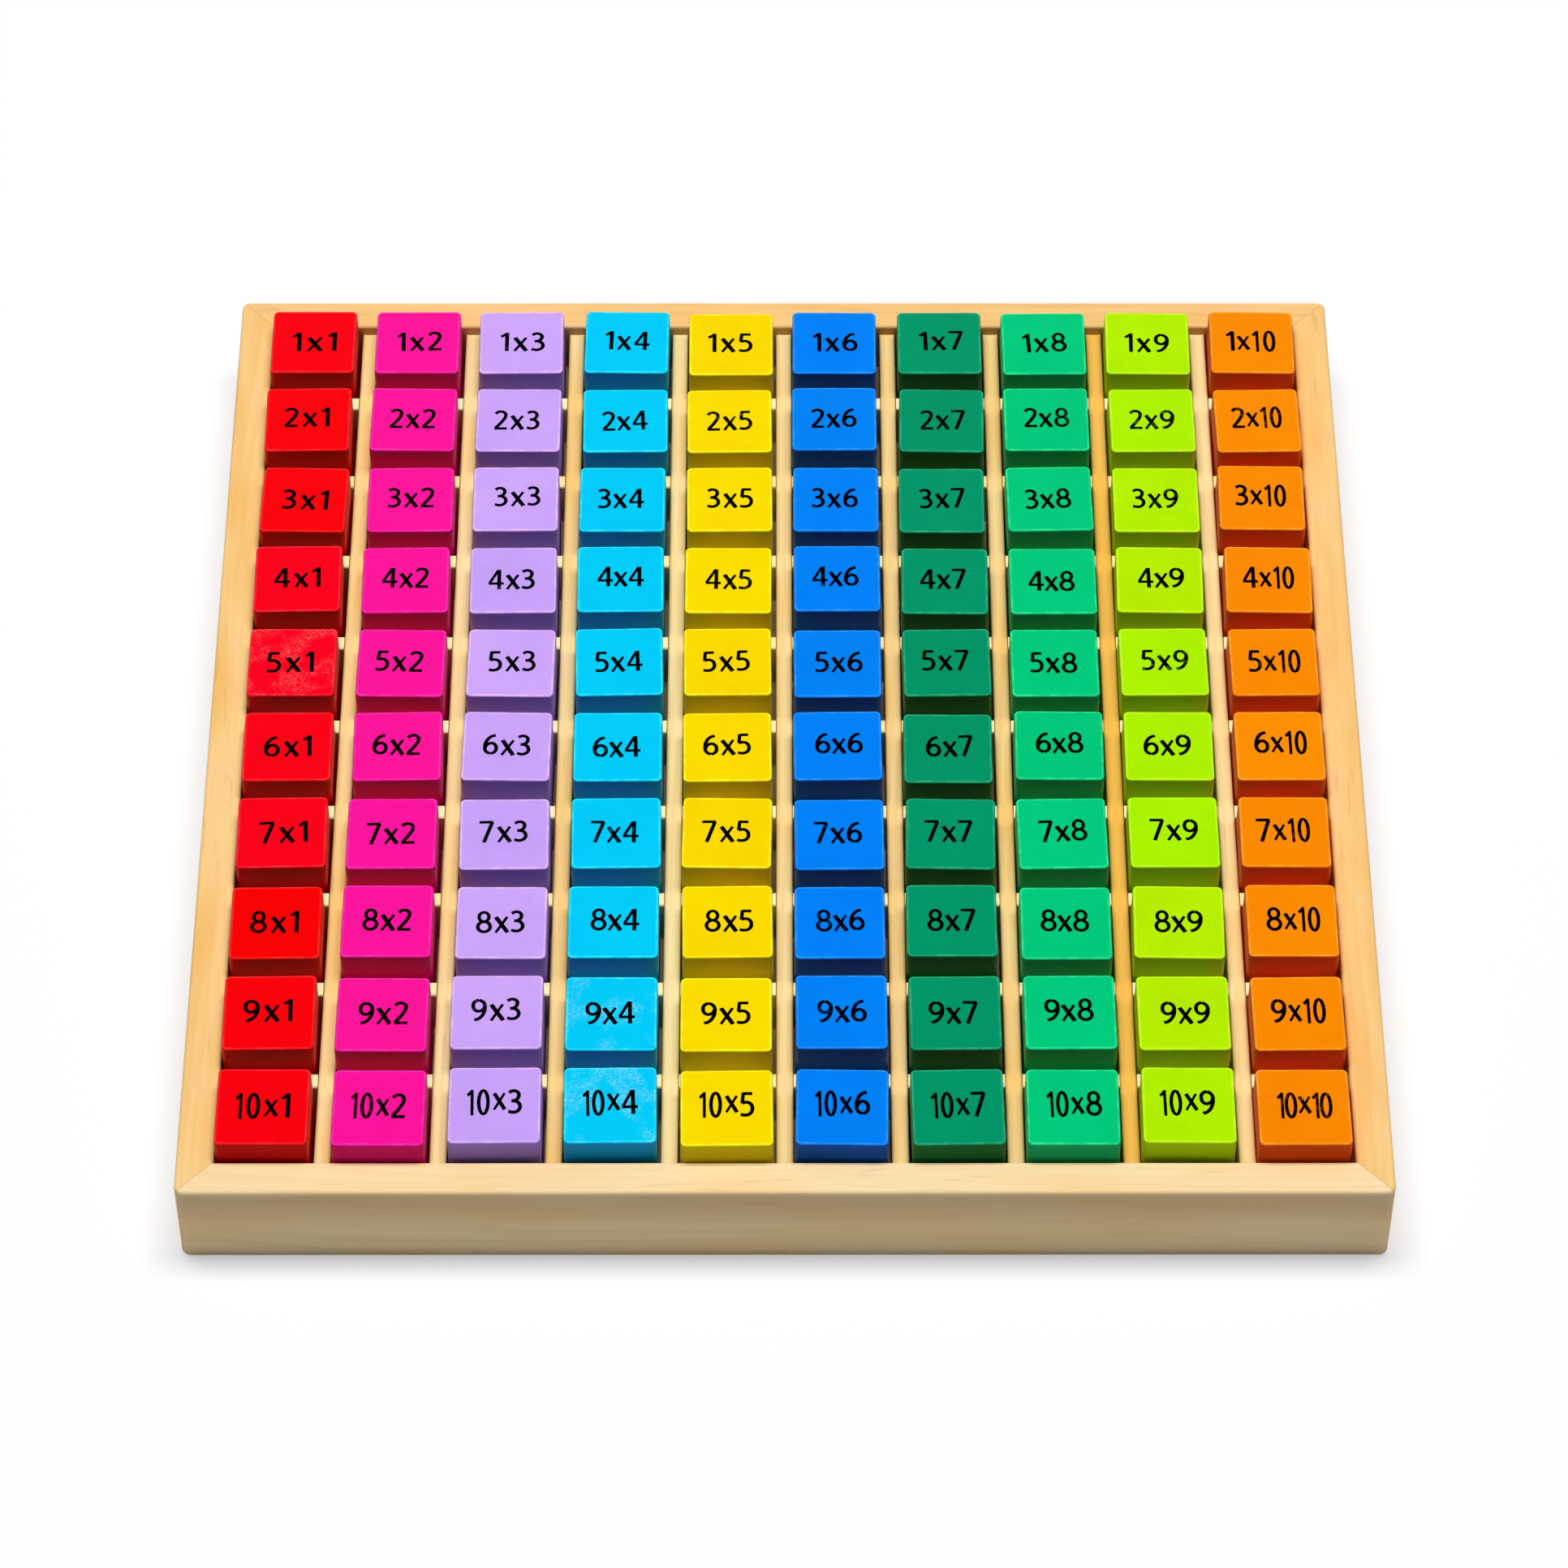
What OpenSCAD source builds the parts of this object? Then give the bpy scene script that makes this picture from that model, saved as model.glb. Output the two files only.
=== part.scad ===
// Wooden times-table board: a shallow tray with a lattice of cells and a painted cube in each cell.
// Four mitred rails hold a thin floor panel in a groove. Slats run both ways across the floor and
// slot into each other with half-lap notches, and one cube stands in each cell, loose, with its
// top above the rails. Millimetres, +Z up. The origin is under the middle of the tray, +Y is the
// far side with row one, and +X is the right-hand side with the last column.

/* [Blocks] */
// Edge length of a cube
block_size = 24.5; // [20:0.5:30]
// Radius of a cube's four upright corners
block_corner_r = 1.6; // [1:0.1:4]
// Radius along a cube's top and bottom edges
block_edge_r = 0.5; // [0.3:0.1:1]
// Gap between a cube in the middle of its cell and each cell wall
block_play = 0.75; // [0.4:0.05:1.5]
// Share of that gap which a cube's turn may take up
turn_share = 0.4; // [0:0.05:0.6]

/* [Lattice] */
// Number of cubes from left to right
columns = 10; // [3:1:10]
// Number of cubes from front to back
rows = 10; // [3:1:12]
// Thickness of a slat
slat_t = 4.5; // [3:0.5:6]
// Distance from the top of the rails down to the top of the slats
slat_drop = 2.5; // [1:0.5:5]
// Radius along a slat's two top edges
slat_edge_r = 0.8; // [0.3:0.1:1.2]
// Radius of the top corner at each end of a slat
slat_end_r = 1.6; // [0.5:0.1:4]
// Clearance round a slat in a notch of the slat that it crosses
notch_gap = 0.1; // [0.05:0.05:0.3]
// Gap between a slat's end and the rail
slat_end_gap = 0.1; // [0.05:0.05:0.5]

/* [Tray] */
// Width of a rail, seen from above
rail_w = 10; // [8:0.5:16]
// Height of a rail
rail_h = 29; // [26:0.5:40]
// Radius along the two top edges of a rail
rail_edge_r = 1; // [0.5:0.1:2]
// Radius along the two bottom edges of a rail
rail_foot_r = 0.4; // [0.2:0.1:1]
// Radius of the tray's four upright corners
tray_corner_r = 2.5; // [2.2:0.1:4]
// Thickness of the floor panel
panel_t = 3; // [2:0.5:5]
// Height of the floor panel's underside above the table
panel_rise = 8.5; // [4:0.5:10]
// Depth of the groove that holds the panel
groove_depth = 4; // [2:0.5:5]
// Clearance over the panel in the groove
groove_gap = 0.1; // [0.05:0.05:0.3]
// Gap between the panel's edge and the bottom of the groove
panel_edge_gap = 0.3; // [0.1:0.1:1]

/* [Hidden] */
$fn = 48;
// Gap that is always left between a cube and a cell wall
wall_gap = 0.05;
// Extra length of a cutting shape past the face that it opens
overrun = 1;
// First number for the random draws, so that they are the same each time
draw_seed = 41;
// Where the cubes lie in their cells, as shares of their slack: the middle of the scatter, then
// half its width. The two add up to 1 or less.
lean_x = -0.55;
scatter_x = 0.45;
lean_y = -0.1;
scatter_y = 0.9;

// Paint of each column, from left to right: the name that its node carries, and the colour
PAINTS = [
    ["red", [0.99, 0.0, 0.08]],
    ["magenta", [1.0, 0.1, 0.62]],
    ["lilac", [0.8, 0.65, 1.0]],
    ["sky", [0.0, 0.8, 1.0]],
    ["yellow", [0.99, 0.87, 0.0]],
    ["blue", [0.0, 0.5, 0.96]],
    ["dark_green", [0.0, 0.58, 0.4]],
    ["green", [0.0, 0.78, 0.47]],
    ["lime", [0.69, 0.94, 0.0]],
    ["orange", [1.0, 0.55, 0.0]],
];
PINE = [0.98, 0.84, 0.6];
PALE_PINE = [1.0, 0.92, 0.76];
PLYWOOD = [0.9, 0.78, 0.6];

// Sizes that follow from the ones above
cell = block_size + 2 * block_play;
pitch = cell + slat_t;
inner_w = columns * pitch - slat_t;
inner_l = rows * pitch - slat_t;
tray_w = inner_w + 2 * rail_w;
tray_l = inner_l + 2 * rail_w;
floor_z = panel_rise + panel_t;
slat_h = rail_h - slat_drop - floor_z;
notch_depth = slat_h / 2 + notch_gap;
turn_max = atan(turn_share * block_play / (block_size / 2));

// Place of slat number i, and of cell number i, along a side that is divided into count cells
function slat_at(i, count) = (i - count / 2) * pitch;
function cell_at(i, count) = (i - (count + 1) / 2) * pitch;

// Four repeatable draws between -1 and 1 for the cube in one cell
function draws(column, row) = rands(-1, 1, 4, draw_seed + column * rows + row);

// A cube's turn in degrees: the mean of two draws, so that small turns are the most common
function turn_of(draw) = turn_max * (draw[0] + draw[1]) / 2;

// How much further a turned cube reaches to each side than a straight one
function swing(turn) = (block_size / 2 - block_corner_r) * (cos(turn) + abs(sin(turn)) - 1);

// How far the middle of a turned cube can move before it is wall_gap from a cell wall
function slack(turn) = block_play - swing(turn) - wall_gap;

// A rectangle round the origin with four rounded corners
module eased_rectangle(size, r) {
    square([size.x - 2 * r, size.y], center = true);
    square([size.x, size.y - 2 * r], center = true);
    for (x = [-1, 1], y = [-1, 1])
        translate([x * (size.x / 2 - r), y * (size.y / 2 - r)]) circle(r);
}

// A rectangle that stands on the X axis, with its two top corners rounded
module top_eased_rectangle(width, height, r) {
    translate([-width / 2, 0]) square([width, height - r]);
    translate([-width / 2 + r, 0]) square([width - 2 * r, height]);
    for (side = [-1, 1])
        translate([side * (width / 2 - r), height - r]) circle(r);
}

// A rectangle that stands on the X axis, with one radius for its top corners and one for its foot
module rail_outline(width) {
    translate([-width / 2, rail_foot_r]) square([width, rail_h - rail_foot_r - rail_edge_r]);
    translate([-width / 2 + rail_foot_r, 0]) square([width - 2 * rail_foot_r, rail_h / 2]);
    translate([-width / 2 + rail_edge_r, rail_h / 2]) square([width - 2 * rail_edge_r, rail_h / 2]);
    for (side = [-1, 1]) {
        translate([side * (width / 2 - rail_foot_r), rail_foot_r]) circle(rail_foot_r);
        translate([side * (width / 2 - rail_edge_r), rail_h - rail_edge_r]) circle(rail_edge_r);
    }
}

// An upright post with eased rims, which makes a rounded corner of the tray
module corner_post() {
    rotate_extrude()
        intersection() {
            rail_outline(2 * tray_corner_r);
            square([tray_corner_r, rail_h]);
        }
}

// A cube with rounded upright corners and eased top and bottom edges, standing on z = 0
module block() {
    intersection() {
        linear_extrude(block_size) eased_rectangle([block_size, block_size], block_corner_r);
        eased_bar(0);
        eased_bar(90);
    }
}

// A level square bar with eased long edges, as wide, high and long as a cube
module eased_bar(direction) {
    translate([0, 0, block_size / 2])
        rotate([90, 0, direction])
            linear_extrude(block_size, center = true)
                eased_rectangle([block_size, block_size], block_edge_r);
}

// The cubes of one column, each a little off the middle of its cell and a little turned
module block_column(column) {
    color(PAINTS[column - 1][1])
        for (row = [1 : rows]) {
            draw = draws(column, row);
            turn = turn_of(draw);
            shift_x = slack(turn) * (lean_x + scatter_x * draw[2]);
            shift_y = slack(turn) * (lean_y + scatter_y * draw[3]);
            translate([cell_at(column, columns) + shift_x, shift_y - cell_at(row, rows), floor_z])
                rotate(turn) block();
        }
}

// Section of a rail: x runs from its outer face to its inner face, y is up
module rail_section() {
    difference() {
        translate([rail_w / 2, 0]) rail_outline(rail_w);
        translate([rail_w - groove_depth, panel_rise])
            square([groove_depth + overrun, panel_t + groove_gap]);
    }
}

// A rail along X with its outer face on y = 0, mitred at 45 degrees at both ends
module rail(length) {
    half = length / 2;
    intersection() {
        linear_extrude(rail_h)
            polygon([[-half, 0], [half, 0], [half - rail_w, rail_w], [rail_w - half, rail_w]]);
        union() {
            rotate([90, 0, 90])
                linear_extrude(length - 2 * tray_corner_r, center = true) rail_section();
            for (side = [-1, 1])
                translate([side * (half - tray_corner_r), tray_corner_r, 0]) corner_post();
        }
    }
}

module rail_front() {
    color(PINE) translate([0, -tray_l / 2, 0]) rail(tray_w);
}

module rail_back() {
    color(PINE) translate([0, tray_l / 2, 0]) rotate(180) rail(tray_w);
}

module rail_left() {
    color(PINE) translate([-tray_w / 2, 0, 0]) rotate(-90) rail(tray_l);
}

module rail_right() {
    color(PINE) translate([tray_w / 2, 0, 0]) rotate(90) rail(tray_l);
}

// The thin panel that lies in the grooves of the four rails
module floor_panel() {
    into_groove = groove_depth - panel_edge_gap;
    color(PLYWOOD)
        translate([-inner_w / 2 - into_groove, -inner_l / 2 - into_groove, panel_rise])
            cube([inner_w + 2 * into_groove, inner_l + 2 * into_groove, panel_t]);
}

// A slat along X that stands on z = 0, with eased top edges and rounded top end corners.
// It has a notch from notch_z up, notch_depth high, at each place in the list crossings.
module slat(length, crossings, notch_z) {
    notch_w = slat_t + 2 * notch_gap;
    difference() {
        intersection() {
            rotate([90, 0, 90])
                linear_extrude(length, center = true)
                    top_eased_rectangle(slat_t, slat_h, slat_edge_r);
            rotate([90, 0, 0])
                linear_extrude(slat_t, center = true)
                    top_eased_rectangle(length, slat_h, slat_end_r);
        }
        for (x = crossings)
            translate([x - notch_w / 2, -slat_t / 2 - overrun, notch_z])
                cube([notch_w, slat_t + 2 * overrun, notch_depth + overrun]);
    }
}

// A slat from front to back between two columns. Its notches open downwards.
module column_divider(i) {
    crossings = [for (j = [1 : rows - 1]) slat_at(j, rows)];
    color(PINE)
        translate([slat_at(i, columns), 0, floor_z])
            rotate(90) slat(inner_l - 2 * slat_end_gap, crossings, -overrun);
}

// A slat from left to right between two rows. Its notches open upwards.
module row_divider(i) {
    crossings = [for (j = [1 : columns - 1]) slat_at(j, columns)];
    color(PALE_PINE)
        translate([0, -slat_at(i, rows), floor_z])
            slat(inner_w - 2 * slat_end_gap, crossings, slat_h - notch_depth);
}

rail_front();
rail_back();
rail_left();
rail_right();
floor_panel();
for (i = [1 : columns - 1])
    column_divider(i);
for (i = [1 : rows - 1])
    row_divider(i);
for (i = [1 : columns])
    block_column(i);
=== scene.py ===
import math
import random

import bmesh
import bpy
from mathutils import Matrix, Vector


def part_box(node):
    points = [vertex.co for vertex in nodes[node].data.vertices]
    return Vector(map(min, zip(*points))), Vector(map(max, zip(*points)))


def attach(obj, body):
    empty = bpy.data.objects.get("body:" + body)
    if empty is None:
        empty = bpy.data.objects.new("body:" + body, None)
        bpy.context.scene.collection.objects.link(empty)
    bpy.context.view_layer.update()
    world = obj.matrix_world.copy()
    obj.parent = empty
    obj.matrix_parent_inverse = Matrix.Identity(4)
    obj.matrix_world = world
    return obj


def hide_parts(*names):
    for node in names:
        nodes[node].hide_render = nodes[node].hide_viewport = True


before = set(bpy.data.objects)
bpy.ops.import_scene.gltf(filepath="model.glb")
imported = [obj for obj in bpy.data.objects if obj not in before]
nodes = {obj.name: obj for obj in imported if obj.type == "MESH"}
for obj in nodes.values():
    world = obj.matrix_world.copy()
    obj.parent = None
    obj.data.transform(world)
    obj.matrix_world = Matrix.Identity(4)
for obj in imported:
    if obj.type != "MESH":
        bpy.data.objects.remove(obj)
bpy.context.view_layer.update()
bpy.ops.object.select_all(action="DESELECT")

# Looks of a wooden times-table board: the pine of its tray and of its lattice, a painted block in
# each cell, and the label printed on each block. The CAD nodes of the tray and of the lattice keep
# their shape and get a finish. Each column of blocks is modelled anew, where the frame has it.

MM = 0.001
WHITE = (1, 1, 1, 1)
BLACK = (0, 0, 0, 1)

# The ten paints from left to right: colour on the tops, colour on the sides with their shade painted
# in, the share of its bounced light that is lost, and how much its hue varies from block to block
PAINTS = {
    "red": ("FE0012", "EE000C", 0.5, 0.003),
    "magenta": ("FF149C", "FF067E", 0.2, 0.008),
    "lilac": ("CBA4FD", "B894FF", 0.2, 0.003),
    "sky": ("00CCFF", "00AEFF", 0.2, 0.003),
    "yellow": ("FEDC00", "FFE200", 0.0, 0.003),
    "blue": ("0082F6", "005CC8", 0.5, 0.003),
    "dark_green": ("009366", "006F2E", 0.5, 0.003),
    "green": ("00C87A", "00C376", 0.4, 0.003),
    "lime": ("B0F000", "C9FF00", 0.4, 0.02),
    "orange": ("FF8B00", "FF5400", 0.0, 0.003),
}

# Blocks whose paint is rubbed pale on top, by paint and row: how much
RUBBED = {("red", 5): 0.45, ("sky", 9): 0.7, ("sky", 10): 0.9}

# The woods: direction of the grain, pale and warm colour of the wood, colour of its growth rings, and
# how strongly the rings show
WOODS = {
    "front rail pine": ("X", "FFE4B0", "FFDA9E", "E6BA7C", 0.18),
    "back rail pine": ("X", "FFD28E", "F6C074", "D89E50", 0.25),
    "side rail pine": ("Y", "FDD48E", "F6C06A", "DCA45C", 0.15),
    "slat pine": ("Y", "FFE6A8", "FFC04C", "E2A450", 0.22),
    "pale slat pine": ("X", "FFF6C0", "FFEAA0", "F4D088", 0.15),
    "plywood": ("X", "EBCB98", "DDB880", "C0935A", 0.3),
}

# Wood and material slot of the CAD nodes whose names begin so
FINISHES = {
    "rail_front": ("front rail pine", "rail_pine"),
    "rail_back": ("back rail pine", "rail_pine"),
    "rail_left": ("side rail pine", "rail_pine"),
    "rail_right": ("side rail pine", "rail_pine"),
    "column_divider": ("slat pine", "slat_pine"),
    "row_divider": ("pale slat pine", "pale_slat_pine"),
    "floor_panel": ("plywood", "plywood"),
}

# Details of the woods: their flecks, the dark line of glue in a mitre with its half width, a band of
# painted shade along the front rail with the heights between which it comes and goes, and the
# share of the wood's bounced light that is lost
FLECK_COLOUR = "B98048"
FLECK_SHARE = 0.22
GLUE_COLOUR = "8A5A2C"
GLUE_SHARE = 0.18
GLUE_HALF_W = 0.5 * MM
PAINTED_SHADE_COLOUR = "C29A68"
PAINTED_SHADE_SHARE = 0.42
PAINTED_SHADE_FOOT = (12 * MM, 25 * MM)
PAINTED_SHADE_TOP = (28.4 * MM, 27 * MM)
WOOD_LIGHT_LOST = 0.45

# How warm each slat between two columns is, from left to right, and how far apart two neighbouring
# slats are cut from the wood
SLAT_TONES = (0.45, 0.3, 0.5, 0.32, 0.4, 0.48, 0.55, 1.0, 0.28)
CUT_STEP = 0.61

# Shape of a block: radii of its upright corners and of its rims, the border that is inset in its top
# and its foot, how far hand sanding reaches in from the sides, and the width and the depth of the
# waves that it left
CORNER_R = 1.5 * MM
RIM_R = 0.5 * MM
BORDER_W = 0.3 * MM
SANDED_W = 1.2 * MM
SANDED_WAVE = 9 * MM
SANDED_DEPTH = 0.16 * MM

# Printed labels: heights of a lone digit, of a digit beside a ten and of the ten's narrow digits,
# width of the pen, width of a whole label without and with a ten, usual gap between two signs, and
# how high the ink stands
DIGIT_H = 7.4 * MM
BESIDE_TEN_H = 7.9 * MM
TEN_H = 8.4 * MM
PEN = 1.02 * MM
LABEL_W = 13.2 * MM
TEN_LABEL_W = 14.65 * MM
GAP = 0.7 * MM
INK_ABOVE = 0.05 * MM

# How a label may lie on its block: its slant in degrees, how many millimetres it slips to the right
# and to the back, and how many the cross may stand higher in the front row
SLANT = (-1.0, 2.2)
SLIP_X = (-0.5, 0.5)
SLIP_Y = (-0.1, 0.9)
CROSS_LIFTS = (0.0, 0.2, 0.9)

# First number for the random draws, so that they are the same each time
DRAW_SEED = 12

# Camera of the photo in millimetres, metres and radians, worked out from the edges of the board
LENS = 133.4
SENSOR_W = 36
CAMERA_PLACE = (-0.0023, -1.0289, 1.2827)
CAMERA_HEADING = -0.00219
CAMERA_TILT = math.radians(90 - 51.257)
CAMERA_LEAN = 0.00136

# Lamp over the board: place, width, depth, power in watts and colour
LAMP_PLACE = (0, 0.3, 3.0)
LAMP_W = 2.1
LAMP_D = 0.9
LAMP_POWER = 89
LAMP_COLOUR = (1, 0.985, 0.965)

# Light that the surroundings throw on the board, and the white table: what it shows of lamp and
# shadow, its own glow near the board, the distances between which that rises to white, and what it
# throws back on the board
ROOM_LIGHT = (0.05, 0.058, 0.075, 1)
TABLE_SIZE = 8
TABLE_LIT = (0.575, 0.58, 0.59, 1)
TABLE_GLOW = (0.46, 0.455, 0.46, 1)
TABLE_FADE = (0.45, 2.2)
TABLE_BOUNCE = (0.8, 0.8, 0.82, 1)

# Pitch of the cells, middle of the back row, edge of a block and height of the blocks' tops
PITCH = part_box("column_divider_2")[0].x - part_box("column_divider_1")[0].x
back_slat_low, back_slat_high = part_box("row_divider_1")
BACK_CELL = (back_slat_low.y + back_slat_high.y) / 2 + PITCH / 2
red_low, red_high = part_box("blocks_red")
SIDE = red_high.z - red_low.z
TOP = red_high.z


def linear(hex_colour):
    """A screen colour as the linear values that a shader takes."""
    channels = []
    for i in (0, 2, 4):
        value = int(hex_colour[i:i + 2], 16) / 255
        if value <= 0.04045:
            channels.append(value / 12.92)
        else:
            channels.append(((value + 0.055) / 1.055) ** 2.4)
    return (*channels, 1)


def select_only(*pieces):
    """Leaves just these objects selected, the first of them active."""
    bpy.ops.object.select_all(action="DESELECT")
    for piece in pieces:
        piece.select_set(True)
    bpy.context.view_layer.objects.active = pieces[0]


# Shader building

def feed(tree, socket, value):
    """Links a socket to an input, or sets the input to a plain value."""
    if isinstance(value, bpy.types.NodeSocket):
        tree.links.new(value, socket)
    else:
        socket.default_value = value


def add(tree, kind, **values):
    """Adds a shader node, with its named input sockets and settings at the given values."""
    node = tree.nodes.new("ShaderNode" + kind)
    for name, value in values.items():
        if hasattr(node, name):
            setattr(node, name, value)
        else:
            feed(tree, node.inputs[name.replace("_", " ")], value)
    return node


def math_node(tree, operation, *values, clamp=False):
    """The result of a Math node that is fed with numbers or sockets."""
    node = tree.nodes.new("ShaderNodeMath")
    node.operation = operation
    node.use_clamp = clamp
    for socket, value in zip(node.inputs, values):
        feed(tree, socket, value)
    return node.outputs[0]


def vector_node(tree, operation, *values):
    """A Vector Math node that is fed with vectors or sockets."""
    node = tree.nodes.new("ShaderNodeVectorMath")
    node.operation = operation
    for socket, value in zip(node.inputs, values):
        feed(tree, socket, value)
    return node


def times(tree, first, second):
    return math_node(tree, "MULTIPLY", first, second)


def scaled(tree, value, factor, base):
    """The base plus the value times the factor."""
    return math_node(tree, "MULTIPLY_ADD", value, factor, base)


def smooth_step(tree, value, low, high):
    """0 below low, 1 above high and a smooth rise between; low over high turns it round."""
    node = tree.nodes.new("ShaderNodeMapRange")
    node.interpolation_type = "SMOOTHSTEP"
    tree.links.new(value, node.inputs["Value"])
    node.inputs["From Min"].default_value = min(low, high)
    node.inputs["From Max"].default_value = max(low, high)
    if low > high:
        node.inputs["To Min"].default_value = 1
        node.inputs["To Max"].default_value = 0
    return node.outputs["Result"]


def mix_colours(tree, share, first, second, clamp=False):
    """Mixes two colours by a share, each given as a socket or a value."""
    node = tree.nodes.new("ShaderNodeMix")
    node.data_type = "RGBA"
    node.clamp_result = clamp
    # A Mix node has sockets for numbers and vectors too: these are the ones for colours
    share_input, first_input, second_input = (node.inputs[i] for i in (0, 6, 7))
    feed(tree, share_input, share)
    feed(tree, first_input, first)
    feed(tree, second_input, second)
    return node.outputs[2]


def noise(tree, place, repeats, detail):
    """Noise from 0 to 1 with this many repeats in a metre, as one number or as one for each axis."""
    if isinstance(repeats, tuple):
        place = vector_node(tree, "MULTIPLY", place, repeats).outputs[0]
        repeats = 1.0
    return add(tree, "TexNoise", Vector=place, Scale=repeats, Detail=detail).outputs["Fac"]


def new_group(name, inputs, outputs):
    """An empty shader node group with named sockets, and its input and output nodes."""
    group = bpy.data.node_groups.new(name, "ShaderNodeTree")
    for socket, kind in inputs.items():
        group.interface.new_socket(name=socket, in_out="INPUT", socket_type="NodeSocket" + kind)
    for socket, kind in outputs.items():
        group.interface.new_socket(name=socket, in_out="OUTPUT", socket_type="NodeSocket" + kind)
    return group, group.nodes.new("NodeGroupInput"), group.nodes.new("NodeGroupOutput")


def pine_grain_group():
    """Growth rings, fibres and slow changes of tone in a board whose length runs along X."""
    group, given, made = new_group(
        "pine grain",
        {"Vector": "Vector", "Cut": "Float"},
        {"Rings": "Float", "Flecks": "Float", "Fibres": "Float", "Cloud": "Float", "Height": "Float"},
    )
    # Each slat is cut from another place in the wood
    shift = add(group, "CombineXYZ")
    for axis, reach in (("X", 3.1), ("Y", 0.37), ("Z", 0.73)):
        group.links.new(times(group, given.outputs["Cut"], reach), shift.inputs[axis])
    place = vector_node(group, "ADD", given.outputs["Vector"], shift.outputs[0]).outputs[0]

    # The rings lie aslant across the board, run out slowly along it and bend a little
    parts = add(group, "SeparateXYZ", Vector=place)
    across = scaled(group, parts.outputs["Z"], 0.55, parts.outputs["Y"])
    across = scaled(group, parts.outputs["X"], 0.016, across)
    rings_per_metre = 330.0
    bend = noise(group, place, (5, 45, 45), 2.0)
    count = scaled(group, bend, 5.0, times(group, across, rings_per_metre))
    in_ring = math_node(group, "FRACT", count)

    # Within a ring the wood darkens slowly and is pale again at once, and some rings hardly show
    rise = smooth_step(group, in_ring, 0.25, 0.86)
    fall = smooth_step(group, in_ring, 1.0, 0.88)
    patchy = smooth_step(group, noise(group, place, (9, 90, 90), 1.0), 0.3, 0.75)
    rings = times(group, times(group, rise, fall), patchy)
    group.links.new(rings, made.inputs["Rings"])

    # Flecks are short marks that come in groups
    marks = smooth_step(group, noise(group, place, (75, 900, 900), 1.0), 0.6, 0.74)
    spots = smooth_step(group, noise(group, place, (22, 60, 60), 0.0), 0.52, 0.68)
    group.links.new(times(group, marks, spots), made.inputs["Flecks"])
    fibres = noise(group, place, (60, 2200, 2200), 3.0)
    group.links.new(fibres, made.inputs["Fibres"])
    group.links.new(noise(group, place, (17, 70, 70), 2.0), made.inputs["Cloud"])
    group.links.new(scaled(group, rings, 0.6, fibres), made.inputs["Height"])
    return group


def block_paint_group():
    """Brushed paint on a wooden block: soft mottling, wood fibres, thin paint and a painted highlight on
    the rims, painted shade on the sides, scuffs.
    """
    group, given, made = new_group(
        "block paint",
        {"Vector": "Vector", "Top": "Color", "Shaded Sides": "Color", "Side": "Float",
         "Tone": "Float", "Swing": "Float", "Rubbed": "Float", "Rim": "Float"},
        {"Color": "Color", "Roughness": "Float", "Height": "Float"},
    )
    place = given.outputs["Vector"]
    side = given.outputs["Side"]
    tone = given.outputs["Tone"]
    mottle = noise(group, place, 260.0, 3.0)
    fibres = noise(group, place, (2600, 170, 2600), 3.0)
    grain = scaled(group, fibres, 0.6, mottle)
    speckle = noise(group, place, 2400.0, 2.0)
    broad = noise(group, place, 70.0, 1.0)

    # Paint is thin on the rims, more so in places, and there a highlight is painted
    uneven = smooth_step(group, mottle, 0.42, 0.62)
    rim_wear_and_highlight = times(group, given.outputs["Rim"], scaled(group, uneven, 0.6, 0.4))

    # Brightness, and what each mark adds to it; on the rims it adds a painted highlight
    value = 0.87
    for mark, share in ((grain, 0.08), (broad, 0.14), (tone, 0.06), (rim_wear_and_highlight, 0.55)):
        value = scaled(group, mark, share, value)
    # The sides take a colour of their own that paints in their shade
    coat = mix_colours(group, side, given.outputs["Top"], given.outputs["Shaded Sides"])
    hue = scaled(group, math_node(group, "SUBTRACT", tone, 0.5), given.outputs["Swing"], 0.5)
    coat = add(group, "HueSaturation", Color=coat, Value=value, Hue=hue).outputs["Color"]
    pale_wood = (1, 0.93, 0.9, 1)
    coat = mix_colours(group, times(group, rim_wear_and_highlight, 0.035), coat, pale_wood, clamp=True)

    # Scuffs on top of the rubbed blocks
    areas = smooth_step(group, noise(group, place, 130.0, 3.0), 0.46, 0.66)
    brushed = smooth_step(group, noise(group, place, (1300, 2600, 1300), 3.0), 0.46, 0.68)
    rubbed = times(group, given.outputs["Rubbed"], math_node(group, "SUBTRACT", 1.0, side))
    scuff = times(group, times(group, areas, brushed), times(group, rubbed, 0.3))
    group.links.new(mix_colours(group, scuff, coat, WHITE), made.inputs["Color"])

    # Roughness, and what each mark adds to it
    rough = 0.24
    for mark, share in ((speckle, 0.12), (scuff, 0.6), (side, 0.2)):
        rough = scaled(group, mark, share, rough)
    group.links.new(rough, made.inputs["Roughness"])
    group.links.new(scaled(group, speckle, 0.25, grain), made.inputs["Height"])
    return group


PINE_GRAIN = pine_grain_group()
BLOCK_PAINT = block_paint_group()


def group_node(tree, group):
    node = tree.nodes.new("ShaderNodeGroup")
    node.node_tree = group
    return node


def new_finish(name):
    """A material, its node tree, its Principled shader and its Object coordinates."""
    material = bpy.data.materials.new(name)
    material.use_nodes = True
    tree = material.node_tree
    return material, tree, tree.nodes["Principled BSDF"], add(tree, "TexCoord").outputs["Object"]


def dim_when_bounced(tree, colour, share):
    """Takes a share off the light that a surface throws on to others, to keep the board's gaps deep."""
    path = add(tree, "LightPath")
    return mix_colours(tree, times(tree, path.outputs["Is Diffuse Ray"], share), colour, BLACK)


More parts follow.
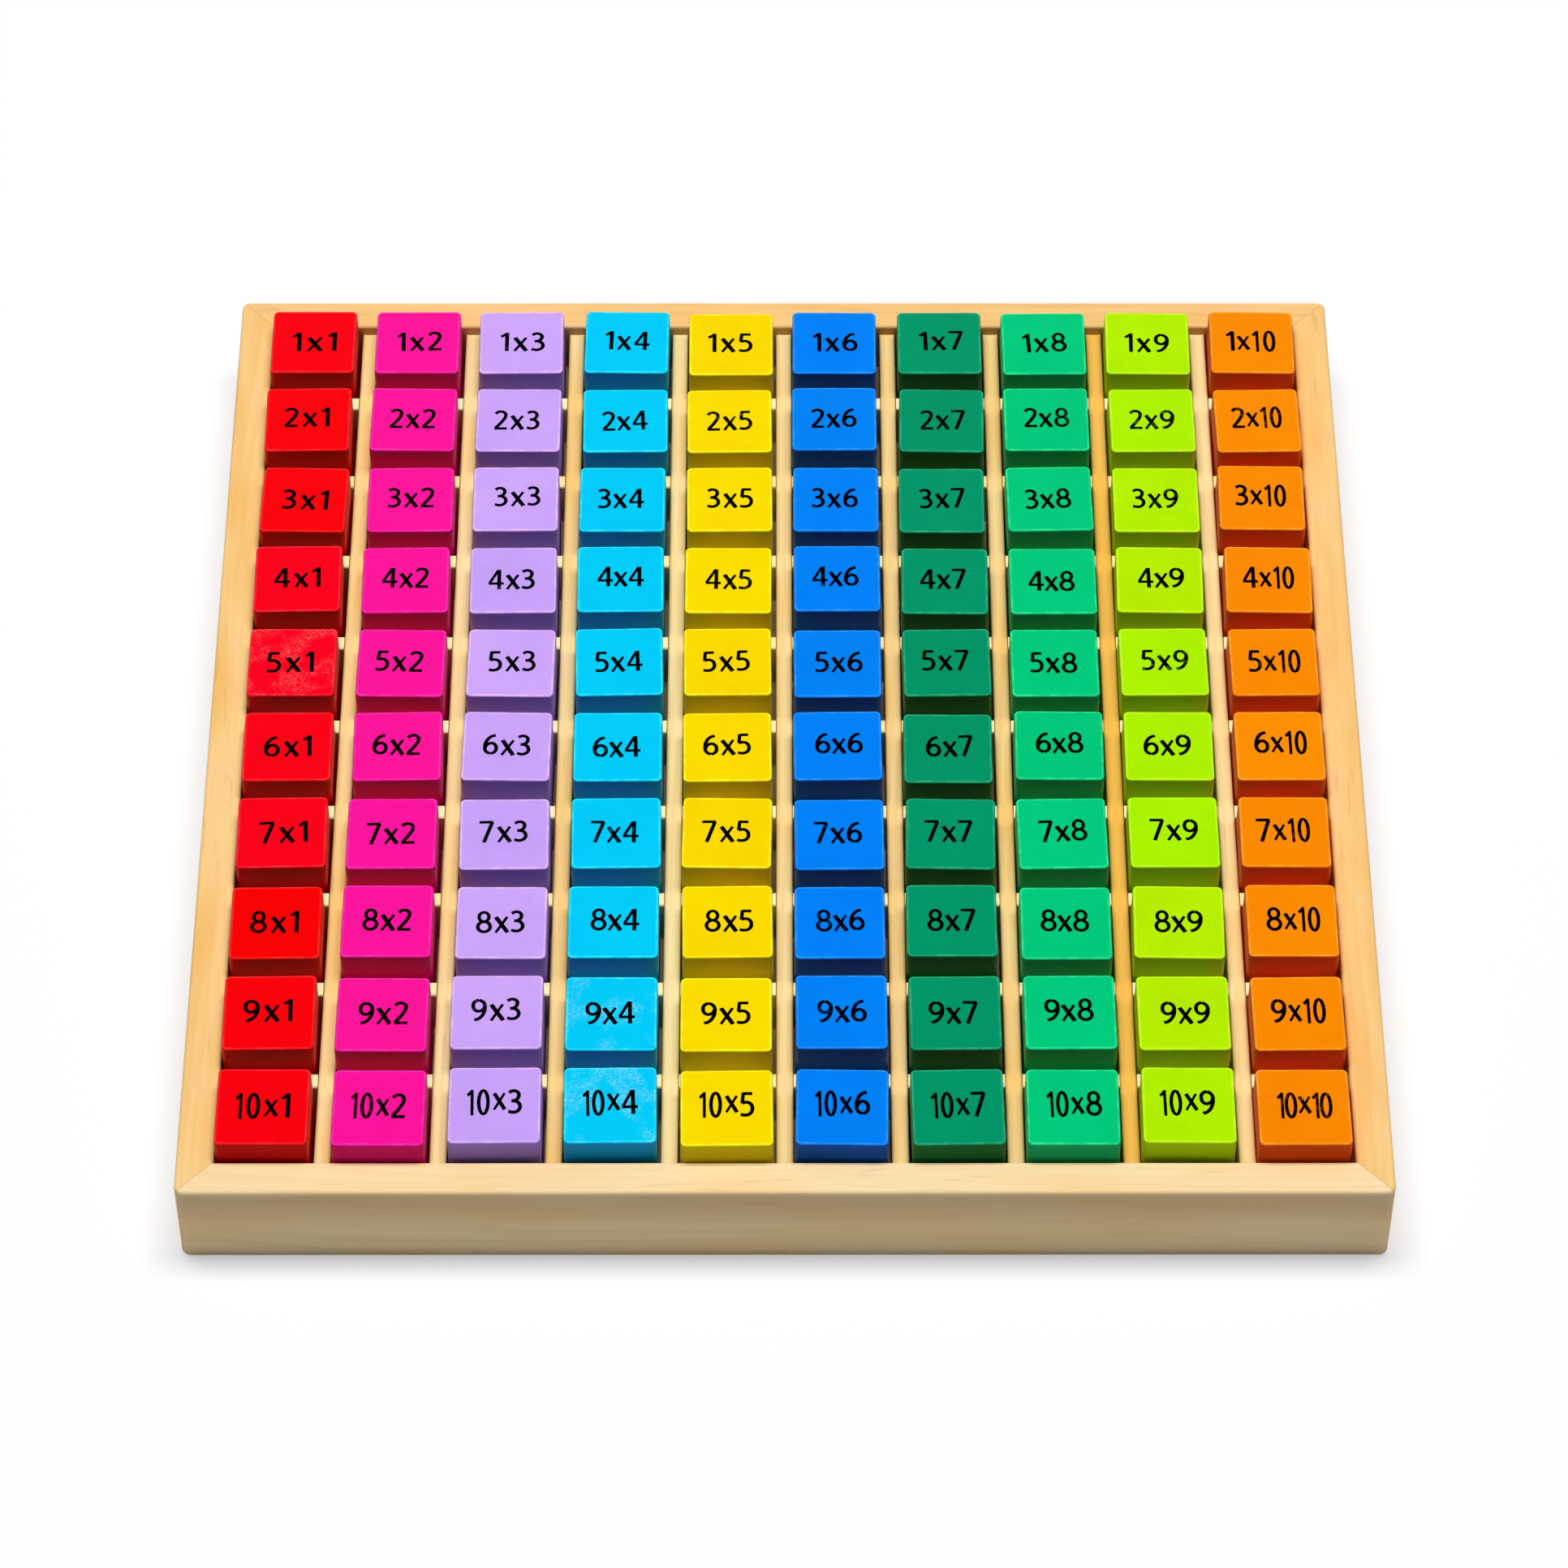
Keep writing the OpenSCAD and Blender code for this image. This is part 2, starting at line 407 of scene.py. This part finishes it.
def tone_of_slat(tree, across):
    """The tone of the slat that lies at this place across the board, from a ramp with a step for each."""
    count = len(SLAT_TONES)
    ramp = add(tree, "ValToRGB", Fac=scaled(tree, across, 1 / (PITCH * count), 0.5))
    ramp.color_ramp.interpolation = "CONSTANT"
    stops = ramp.color_ramp.elements
    stops[1].position = 1 / count
    for i in range(2, count):
        stops.new(i / count)
    for stop, tone in zip(stops, SLAT_TONES):
        stop.color = (tone, tone, tone, 1)
    return ramp.outputs["Color"]


def glue_line(tree, parts, colour):
    """Darkens wood along the diagonals of the tray, where two rails are glued at a mitre."""
    across_x = math_node(tree, "ABSOLUTE", parts.outputs["X"])
    across_y = math_node(tree, "ABSOLUTE", parts.outputs["Y"])
    off = math_node(tree, "ABSOLUTE", math_node(tree, "SUBTRACT", across_x, across_y))
    seam = smooth_step(tree, off, GLUE_HALF_W, 0.1 * GLUE_HALF_W)
    return mix_colours(tree, times(tree, seam, GLUE_SHARE), colour, linear(GLUE_COLOUR))


def front_band(tree, parts, colour):
    """Paints shade on wood as a darker level band below the top of a rail."""
    rise = smooth_step(tree, parts.outputs["Z"], *PAINTED_SHADE_FOOT)
    fall = smooth_step(tree, parts.outputs["Z"], *PAINTED_SHADE_TOP)
    band = times(tree, times(tree, rise, fall), PAINTED_SHADE_SHARE)
    return mix_colours(tree, band, colour, linear(PAINTED_SHADE_COLOUR))


def pine(name):
    """Sanded wood. Slats differ in tone, rails have a glue line, and the front rail has a painted band of
    shade.
    """
    along, pale, warm, dark, ring_share = WOODS[name]
    material, tree, shader, position = new_finish(name)
    turned = add(tree, "Mapping", Vector=position)
    if along == "Y":
        turned.inputs["Rotation"].default_value = (0, 0, math.pi / 2)
    grain = group_node(tree, PINE_GRAIN)
    tree.links.new(turned.outputs[0], grain.inputs["Vector"])
    parts = add(tree, "SeparateXYZ", Vector=position)

    cloud = grain.outputs["Cloud"]
    if "slat" in name:
        across = parts.outputs["X" if along == "Y" else "Y"]
        number = math_node(tree, "ROUND", math_node(tree, "DIVIDE", across, PITCH))
        tree.links.new(times(tree, number, CUT_STEP), grain.inputs["Cut"])
        cloud = scaled(tree, tone_of_slat(tree, across), 0.5, times(tree, cloud, 0.45))
    colour = mix_colours(tree, smooth_step(tree, cloud, 0.3, 0.72), linear(pale), linear(warm))
    for mark, share, mark_colour in (("Rings", ring_share, dark), ("Flecks", FLECK_SHARE, FLECK_COLOUR)):
        colour = mix_colours(tree, times(tree, grain.outputs[mark], share), colour, linear(mark_colour))
    fibre = scaled(tree, grain.outputs["Fibres"], 0.14, 0.93)
    colour = add(tree, "HueSaturation", Color=colour, Value=fibre).outputs["Color"]
    if "rail" in name:
        colour = glue_line(tree, parts, colour)
    # The front rail gets a band of painted shade below its top
    if "front" in name:
        colour = front_band(tree, parts, colour)
    tree.links.new(dim_when_bounced(tree, colour, WOOD_LIGHT_LOST), shader.inputs["Base Color"])

    tree.links.new(scaled(tree, grain.outputs["Fibres"], 0.2, 0.42), shader.inputs["Roughness"])
    shader.inputs["Specular IOR Level"].default_value = 0.25
    bump = add(tree, "Bump", Strength=0.35, Distance=0.12 * MM, Height=grain.outputs["Height"])
    tree.links.new(bump.outputs[0], shader.inputs["Normal"])
    return material


def paint(name, top, shaded_sides, share_lost, swing):
    """Satin paint with painted shade on its sides. Attributes of the mesh say how it lies on each point of
    a block.
    """
    material, tree, shader, position = new_finish(name)
    finish = group_node(tree, BLOCK_PAINT)
    tree.links.new(position, finish.inputs["Vector"])
    for mark in ("Side", "Tone", "Rubbed", "Rim"):
        read = add(tree, "Attribute", attribute_name=mark.lower())
        tree.links.new(read.outputs["Fac"], finish.inputs[mark])
    finish.inputs["Top"].default_value = linear(top)
    # The colour on the sides paints in the shade that falls on them
    finish.inputs["Shaded Sides"].default_value = linear(shaded_sides)
    finish.inputs["Swing"].default_value = swing
    colour = dim_when_bounced(tree, finish.outputs["Color"], share_lost)
    tree.links.new(colour, shader.inputs["Base Color"])
    tree.links.new(finish.outputs["Roughness"], shader.inputs["Roughness"])
    shader.inputs["Specular IOR Level"].default_value = 0.2
    shader.inputs["Specular Tint"].default_value = linear(top)
    bump = add(tree, "Bump", Strength=0.3, Distance=0.1 * MM, Height=finish.outputs["Height"])
    tree.links.new(bump.outputs[0], shader.inputs["Normal"])
    return material


def ink(name):
    """Black printing ink that lets a trace of the paint through and is worn in places."""
    material, tree, shader, position = new_finish(name)
    patches = noise(tree, position, 900.0, 3.0)
    faded = smooth_step(tree, patches, 0.5, 0.75)
    colour = mix_colours(tree, faded, linear("000000"), linear("0A0606"))
    tree.links.new(colour, shader.inputs["Base Color"])
    worn = smooth_step(tree, noise(tree, position, 620.0, 4.0), 0.5, 0.66)
    where = smooth_step(tree, noise(tree, position, 34.0, 0.0), 0.58, 0.7)
    tree.links.new(scaled(tree, times(tree, worn, where), -0.3, 0.968), shader.inputs["Alpha"])
    tree.links.new(scaled(tree, patches, 0.3, 0.4), shader.inputs["Roughness"])
    shader.inputs["Specular IOR Level"].default_value = 0.0
    return material


# Blocks

def choose(piece, kind, wanted):
    """Selects just the edges or faces of a piece in edit mode that pass a test."""
    bpy.ops.mesh.select_all(action="DESELECT")
    shape = bmesh.from_edit_mesh(piece.data)
    shape.normal_update()
    for part in getattr(shape, kind):
        part.select = wanted(part)
    bmesh.update_edit_mesh(piece.data)


def model_block(side):
    """One block standing on z = 0 round the Z axis, with rounded corners and eased rims."""
    bpy.ops.mesh.primitive_cube_add(size=side, location=(0, 0, side / 2))
    block = bpy.context.object
    bpy.ops.object.transform_apply(location=True, rotation=True, scale=True)
    half = side / 2 - 0.001 * MM

    def on_corner(edge):
        return all(abs(v.co.x) > half and abs(v.co.y) > half for v in edge.verts)

    def on_rim(edge):
        level = [abs(face.normal.z) > 0.9 for face in edge.link_faces]
        return any(level) and not all(level)

    def is_level(face):
        return abs(face.normal.z) > 0.9999

    select_only(block)
    bpy.ops.object.mode_set(mode="EDIT")
    bpy.ops.mesh.select_mode(type="EDGE")
    bpy.ops.mesh.select_all(action="SELECT")
    bpy.ops.mesh.subdivide(number_cuts=5)
    choose(block, "edges", on_corner)
    bpy.ops.mesh.bevel(offset=CORNER_R, segments=5, affect="EDGES")
    choose(block, "edges", on_rim)
    bpy.ops.mesh.bevel(offset=RIM_R, segments=4, affect="EDGES")
    # A narrow border keeps the shading of the rims off the level faces
    bpy.ops.mesh.select_mode(type="FACE")
    choose(block, "faces", is_level)
    bpy.ops.mesh.inset(thickness=BORDER_W, depth=0)
    bpy.ops.object.mode_set(mode="OBJECT")
    mark_rims(block, side)
    return block


def plan_inset(point, side):
    """How far a point lies inside the block's rounded outline, seen from above."""
    x = abs(point.x) - side / 2 + CORNER_R
    y = abs(point.y) - side / 2 + CORNER_R
    outside = math.hypot(max(x, 0), max(y, 0))
    return CORNER_R - outside - min(max(x, y), 0)


def set_attribute(piece, name, values):
    """Gives each point of a mesh a number that a material can read."""
    attribute = piece.data.attributes.new(name, "FLOAT", "POINT")
    attribute.data.foreach_set("value", values)


def mark_rims(block, side):
    """Marks the rims, where paint is thin and a highlight is painted, the sides, where shade is painted,
    and the part that hand sanding reached.
    """
    rim_wear_and_highlight = []
    beside = []
    sanded = []
    slight = 0.02 * MM
    fade = 1.2
    for vertex in block.data.vertices:
        to_level = min(side - vertex.co.z, vertex.co.z)
        to_side = plan_inset(vertex.co, side)
        on_rim = to_side < RIM_R + slight
        # The rim mark thins the paint and brings a painted highlight
        rim_wear_and_highlight.append(max(1 - fade * to_level / RIM_R, 0.0) if on_rim else 0.0)
        beside.append(min(to_level / RIM_R, 1.0))
        if to_side < SANDED_W:
            sanded.append(vertex.index)
    set_attribute(block, "rim", rim_wear_and_highlight)
    set_attribute(block, "side", beside)
    block.vertex_groups.new(name="uneven").add(sanded, 1.0, "REPLACE")


def block_places(node):
    """(middle of the foot, turn) of each block of a column, from the back, read from the frame."""
    rows = {}
    for face in node.data.polygons:
        row = round((BACK_CELL - face.center.y) / PITCH)
        rows.setdefault(row, []).append(face)
    places = []
    for row in sorted(rows):
        points = [node.data.vertices[i].co for face in rows[row] for i in face.vertices]
        low = Vector(min(p[axis] for p in points) for axis in range(3))
        high = Vector(max(p[axis] for p in points) for axis in range(3))
        foot = Vector(((low.x + high.x) / 2, (low.y + high.y) / 2, low.z))
        places.append((foot, turn_of(rows[row])))
    return places


def turn_of(faces):
    """A block's turn. Four times the heading of an upright face is the same for all four sides."""
    sine = 0.0
    cosine = 0.0
    for face in faces:
        if abs(face.normal.z) < 0.01:
            heading = 4 * math.atan2(face.normal.y, face.normal.x)
            sine += face.area * math.sin(heading)
            cosine += face.area * math.cos(heading)
    return math.atan2(sine, cosine) / 4


def joined(pieces, name):
    """Joins pieces into one mesh whose object is at the origin."""
    select_only(*pieces)
    bpy.ops.object.join()
    whole = bpy.context.object
    whole.name = name
    whole.data.name = name
    return whole


def apply_modifier(piece, kind, **settings):
    """Gives a piece one modifier and applies it."""
    select_only(piece)
    modifier = piece.modifiers.new(kind.lower(), kind)
    for name, value in settings.items():
        setattr(modifier, name, value)
    bpy.ops.object.modifier_apply(modifier=modifier.name)


def copy_of(piece, placed):
    """A copy with its own mesh, moved by a matrix."""
    twin = piece.copy()
    twin.data = piece.data.copy()
    twin.data.transform(placed)
    bpy.context.scene.collection.objects.link(twin)
    return twin


def paint_column(block, colour, places, draws, waviness):
    """The ten blocks of one column as one painted piece that stands for the column's node."""
    copies = []
    for row, (foot, turn) in enumerate(places, 1):
        twin = copy_of(block, Matrix.Translation(foot) @ Matrix.Rotation(turn, 4, "Z"))
        count = len(twin.data.vertices)
        set_attribute(twin, "tone", [draws.random()] * count)
        set_attribute(twin, "rubbed", [RUBBED.get((colour, row), 0.0)] * count)
        copies.append(twin)
    column = joined(copies, "painted_blocks_" + colour)
    apply_modifier(column, "DISPLACE", texture=waviness, texture_coords="LOCAL",
                   strength=SANDED_DEPTH, mid_level=0.5, vertex_group="uneven")
    bpy.ops.object.shade_smooth()
    apply_modifier(column, "WEIGHTED_NORMAL", keep_sharp=False)
    column.data.materials.append(paint("paint " + colour.replace("_", " "), *PAINTS[colour]))
    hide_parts("blocks_" + colour)
    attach(column, "root")


# Labels

def new_stroke(curve, count):
    """A stroke with this many knots."""
    stroke = curve.splines.new("BEZIER")
    stroke.bezier_points.add(count - 1)
    return stroke


def pen(curve, points, weight=1.0, smooth=False):
    """One stroke of the pen through points given in hundredths of a digit's height."""
    stroke = new_stroke(curve, len(points))
    handles = "AUTO" if smooth else "VECTOR"
    for knot, (x, y) in zip(stroke.bezier_points, points):
        knot.co = (x / 100, y / 100, 0)
        knot.radius = weight
        knot.handle_left_type = handles
        knot.handle_right_type = handles


def oval(curve, middle_x, middle_y, half_w, half_h, weight=1.0):
    """A closed stroke along an ellipse. A handle 0.55 of the half axis long makes a round quarter."""
    stroke = new_stroke(curve, 4)
    stroke.use_cyclic_u = True
    for knot, (x, y) in zip(stroke.bezier_points, ((1, 0), (0, 1), (-1, 0), (0, -1))):
        spot = Vector((middle_x + x * half_w, middle_y + y * half_h, 0)) / 100
        reach = Vector((-y * half_w, x * half_h, 0)) / 100 * 0.55
        knot.handle_left_type = "FREE"
        knot.handle_right_type = "FREE"
        knot.co = spot
        knot.handle_left = spot - reach
        knot.handle_right = spot + reach
        knot.radius = weight


def draw_zero(curve):
    oval(curve, 18, 50, 15, 45.5, 0.88)


def draw_one(curve):
    pen(curve, [(24, 0), (24, 99)], 1.05)
    pen(curve, [(3, 77), (26, 95)], 0.95)


def draw_two(curve):
    pen(curve, [(5, 82), (13, 91), (26, 94), (40, 86), (42, 68), (33, 47), (19, 25), (6, 8)],
        smooth=True)
    pen(curve, [(2, 5), (49, 5)], 0.95)


def draw_three(curve):
    pen(curve, [(6, 87), (22, 94), (38, 86), (39, 67), (29, 55), (15, 52)], smooth=True)
    pen(curve, [(15, 53), (32, 50), (43, 38), (42, 18), (26, 6), (4, 10)], smooth=True)


def draw_four(curve):
    pen(curve, [(40, 99), (40, 0)], 1.05)
    pen(curve, [(37, 97), (5, 33)], 0.85)
    pen(curve, [(1, 30), (57, 30)], 0.9)


def draw_five(curve):
    pen(curve, [(11, 94), (45, 94)], 0.95)
    pen(curve, [(14, 97), (10, 54)], 0.95)
    pen(curve, [(10, 55), (22, 59), (38, 53), (45, 34), (38, 13), (22, 6), (4, 9)], smooth=True)


def draw_six(curve):
    pen(curve, [(44, 95), (27, 88), (13, 69), (7, 42), (11, 18), (27, 6)], smooth=True)
    pen(curve, [(27, 6), (42, 14), (48, 32), (42, 51), (28, 57), (13, 47), (7, 33)], smooth=True)


def draw_seven(curve):
    pen(curve, [(3, 95), (52, 95)], 0.95)
    pen(curve, [(49, 95), (19, 0)], 1.02)


def draw_eight(curve):
    oval(curve, 28, 73.5, 17.5, 21.5, 0.95)
    oval(curve, 28, 28.5, 22, 23.5)


def draw_nine(curve):
    pen(curve, [(9, 5), (25, 11), (40, 30), (47, 57), (43, 82), (27, 95)], smooth=True)
    pen(curve, [(27, 95), (12, 87), (6, 69), (12, 50), (26, 44), (41, 53), (47, 67)], smooth=True)


def draw_cross(curve):
    pen(curve, [(4, 72), (46, 0)], 1.2)
    pen(curve, [(45, 72), (3, 0)], 0.8)


DRAWINGS = {
    "0": draw_zero, "1": draw_one, "2": draw_two, "3": draw_three, "4": draw_four, "5": draw_five,
    "6": draw_six, "7": draw_seven, "8": draw_eight, "9": draw_nine, "x": draw_cross,
}


def model_glyph(sign):
    """A sign as flat strokes of ink, one unit high and thick, standing on the X axis from x = 0."""
    half_pen = PEN / DIGIT_H / 2
    curve = bpy.data.curves.new("sign_" + sign, "CURVE")
    curve.dimensions = "3D"
    curve.twist_mode = "Z_UP"
    curve.bevel_depth = half_pen
    curve.bevel_resolution = 0
    curve.resolution_u = 4
    curve.use_fill_caps = True
    DRAWINGS[sign](curve)
    glyph = bpy.data.objects.new("sign_" + sign, curve)
    bpy.context.scene.collection.objects.link(glyph)
    select_only(glyph)
    bpy.ops.object.convert(target="MESH")
    glyph = bpy.context.object
    left = min(v.co.x for v in glyph.data.vertices)
    right = max(v.co.x for v in glyph.data.vertices)
    flat = Matrix.Diagonal((1, 1, 1 / half_pen, 1))
    glyph.data.transform(flat @ Matrix.Translation((-left, 0, 0)))
    glyph["width"] = right - left
    return glyph


def spell_number(number, tens):
    """The digits of a number, as spell gives them."""
    if number == 10:
        return [("1", 0.68, TEN_H, -0.3 * MM, 1.0), ("0", 0.96, TEN_H, -0.3 * MM, 0.8)]
    if tens:
        return [(str(number), 0.95, BESIDE_TEN_H, 0.0, 0.5)]
    return [(str(number), 1.04, DIGIT_H, 0.0, 1.0)]


def spell(row, column):
    """The signs of a label, each as (sign, width for its height, height, lift, share of the gap after)."""
    tens = 10 in (row, column)
    cross = ("x", 0.88, DIGIT_H, 0.5 * MM, 0.4) if tens else ("x", 1.02, DIGIT_H, 0.0, 0.7)
    return [*spell_number(row, tens), cross, *spell_number(column, tens)]


def write_label(glyphs, signs, total, placed, cross_lift):
    """The signs of one label. What is left of its width goes half into them and half into the gaps."""
    widths = [glyphs[sign]["width"] * share * height for sign, share, height, lift, gap in signs]
    gaps = sum(gap for sign, share, height, lift, gap in signs[:-1])
    loose = total - sum(widths) - gaps * GAP
    widen = 1 + max(0.5 * loose, 0) / sum(widths)
    spacing = (total - widen * sum(widths)) / gaps
    strokes = []
    x = -total / 2
    for width, (sign, share, height, lift, gap) in zip(widths, signs):
        if sign == "x":
            lift += cross_lift
        size = Matrix.Diagonal((widen * share * height, height, INK_ABOVE, 1))
        spot = Matrix.Translation((x, lift - DIGIT_H / 2, 0))
        strokes.append(copy_of(glyphs[sign], placed @ spot @ size))
        x += widen * width + gap * spacing
    return strokes


def print_labels(glyphs, material, colour, column, places, draws):
    """The printed labels of one column as one piece of ink that lies on the blocks' tops."""
    strokes = []
    for row, (foot, turn) in enumerate(places, 1):
        cross_lift = draws.choice(CROSS_LIFTS) * MM if row == 10 else 0.0
        askew = Matrix.Rotation(math.radians(draws.uniform(*SLANT)), 4, "Z")
        slip = Matrix.Translation((draws.uniform(*SLIP_X) * MM, draws.uniform(*SLIP_Y) * MM, 0))
        on_block = Matrix.Translation((foot.x, foot.y, TOP)) @ Matrix.Rotation(turn, 4, "Z")
        placed = on_block @ slip @ askew
        total = TEN_LABEL_W if 10 in (row, column) else LABEL_W
        strokes += write_label(glyphs, spell(row, column), total, placed, cross_lift)
    labels = joined(strokes, "printed_labels_" + colour)
    labels.data.materials.append(material)
    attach(labels, "root")


# Camera, light and table

def set_camera():
    data = bpy.data.cameras.new("camera")
    data.sensor_width = SENSOR_W
    data.lens = LENS
    camera = bpy.data.objects.new("camera", data)
    bpy.context.scene.collection.objects.link(camera)
    heading = Matrix.Rotation(CAMERA_HEADING, 4, "Z")
    tilt = Matrix.Rotation(CAMERA_TILT, 4, "X")
    lean = Matrix.Rotation(CAMERA_LEAN, 4, "Z")
    camera.matrix_world = Matrix.Translation(CAMERA_PLACE) @ heading @ tilt @ lean
    bpy.context.scene.camera = camera


def set_lamp():
    """A wide soft lamp over the board that points at it."""
    data = bpy.data.lights.new("overhead lamp", "AREA")
    data.shape = "RECTANGLE"
    data.size = LAMP_W
    data.size_y = LAMP_D
    data.energy = LAMP_POWER
    data.color = LAMP_COLOUR
    lamp = bpy.data.objects.new("overhead lamp", data)
    lamp.location = LAMP_PLACE
    lamp.rotation_euler = (-Vector(LAMP_PLACE)).to_track_quat("-Z", "Y").to_euler()
    bpy.context.scene.collection.objects.link(lamp)


def seen_directly(tree):
    """1 for what is seen by the camera, in a mirror or through glass, and 0 for light on things."""
    path = add(tree, "LightPath")
    seen = path.outputs["Is Camera Ray"]
    for ray in ("Is Glossy Ray", "Is Transmission Ray"):
        seen = math_node(tree, "ADD", seen, path.outputs[ray], clamp=True)
    return seen


def set_world():
    """White to the eye, and a dim bluish light on the board."""
    world = bpy.data.worlds.new("studio")
    bpy.context.scene.world = world
    world.use_nodes = True
    tree = world.node_tree
    colour = mix_colours(tree, seen_directly(tree), ROOM_LIGHT, WHITE)
    tree.links.new(colour, tree.nodes["Background"].inputs["Color"])


def set_table():
    """A white table whose own glow grows with the distance, so that it fades into the background."""
    bpy.ops.mesh.primitive_plane_add(size=TABLE_SIZE, location=(0, 0, 0))
    table = bpy.context.object
    table.name = "floor"
    material = bpy.data.materials.new("white table")
    material.use_nodes = True
    tree = material.node_tree
    tree.nodes.remove(tree.nodes["Principled BSDF"])
    place = add(tree, "TexCoord").outputs["Object"]
    distance = vector_node(tree, "LENGTH", place).outputs["Value"]
    far = smooth_step(tree, distance, *TABLE_FADE)
    glow = add(tree, "Emission", Color=mix_colours(tree, far, TABLE_GLOW, WHITE))
    lit = add(tree, "BsdfDiffuse", Color=TABLE_LIT)
    plain = add(tree, "BsdfDiffuse", Color=TABLE_BOUNCE)
    white = tree.nodes.new("ShaderNodeAddShader")
    tree.links.new(lit.outputs[0], white.inputs[0])
    tree.links.new(glow.outputs[0], white.inputs[1])
    choice = tree.nodes.new("ShaderNodeMixShader")
    tree.links.new(seen_directly(tree), choice.inputs[0])
    tree.links.new(plain.outputs[0], choice.inputs[1])
    tree.links.new(white.outputs[0], choice.inputs[2])
    tree.links.new(choice.outputs[0], tree.nodes["Material Output"].inputs["Surface"])
    table.data.materials.append(material)


def finish_wood():
    """Gives the CAD nodes of the tray and of the lattice their woods."""
    woods = {name: pine(name) for name in WOODS}
    for start, (wood, slot) in FINISHES.items():
        for name, node in nodes.items():
            if name.startswith(start):
                node.data.materials.clear()
                node.data.materials.append(woods[wood])


def fill_cells():
    """Puts a painted and printed block in each cell, column by column."""
    waviness = bpy.data.textures.new("hand sanded", "CLOUDS")
    waviness.noise_scale = SANDED_WAVE
    block = model_block(SIDE)
    glyphs = {sign: model_glyph(sign) for sign in DRAWINGS}
    print_ink = ink("print ink")
    draws = random.Random(DRAW_SEED)
    for column, colour in enumerate(PAINTS, 1):
        places = block_places(nodes["blocks_" + colour])
        paint_column(block, colour, places, draws, waviness)
        print_labels(glyphs, print_ink, colour, column, places, draws)
    for pattern in (block, *glyphs.values()):
        bpy.data.objects.remove(pattern)


finish_wood()
fill_cells()
set_camera()
set_lamp()
set_world()
set_table()
bpy.context.scene.view_settings.view_transform = "Standard"

bpy.context.view_layer.update()
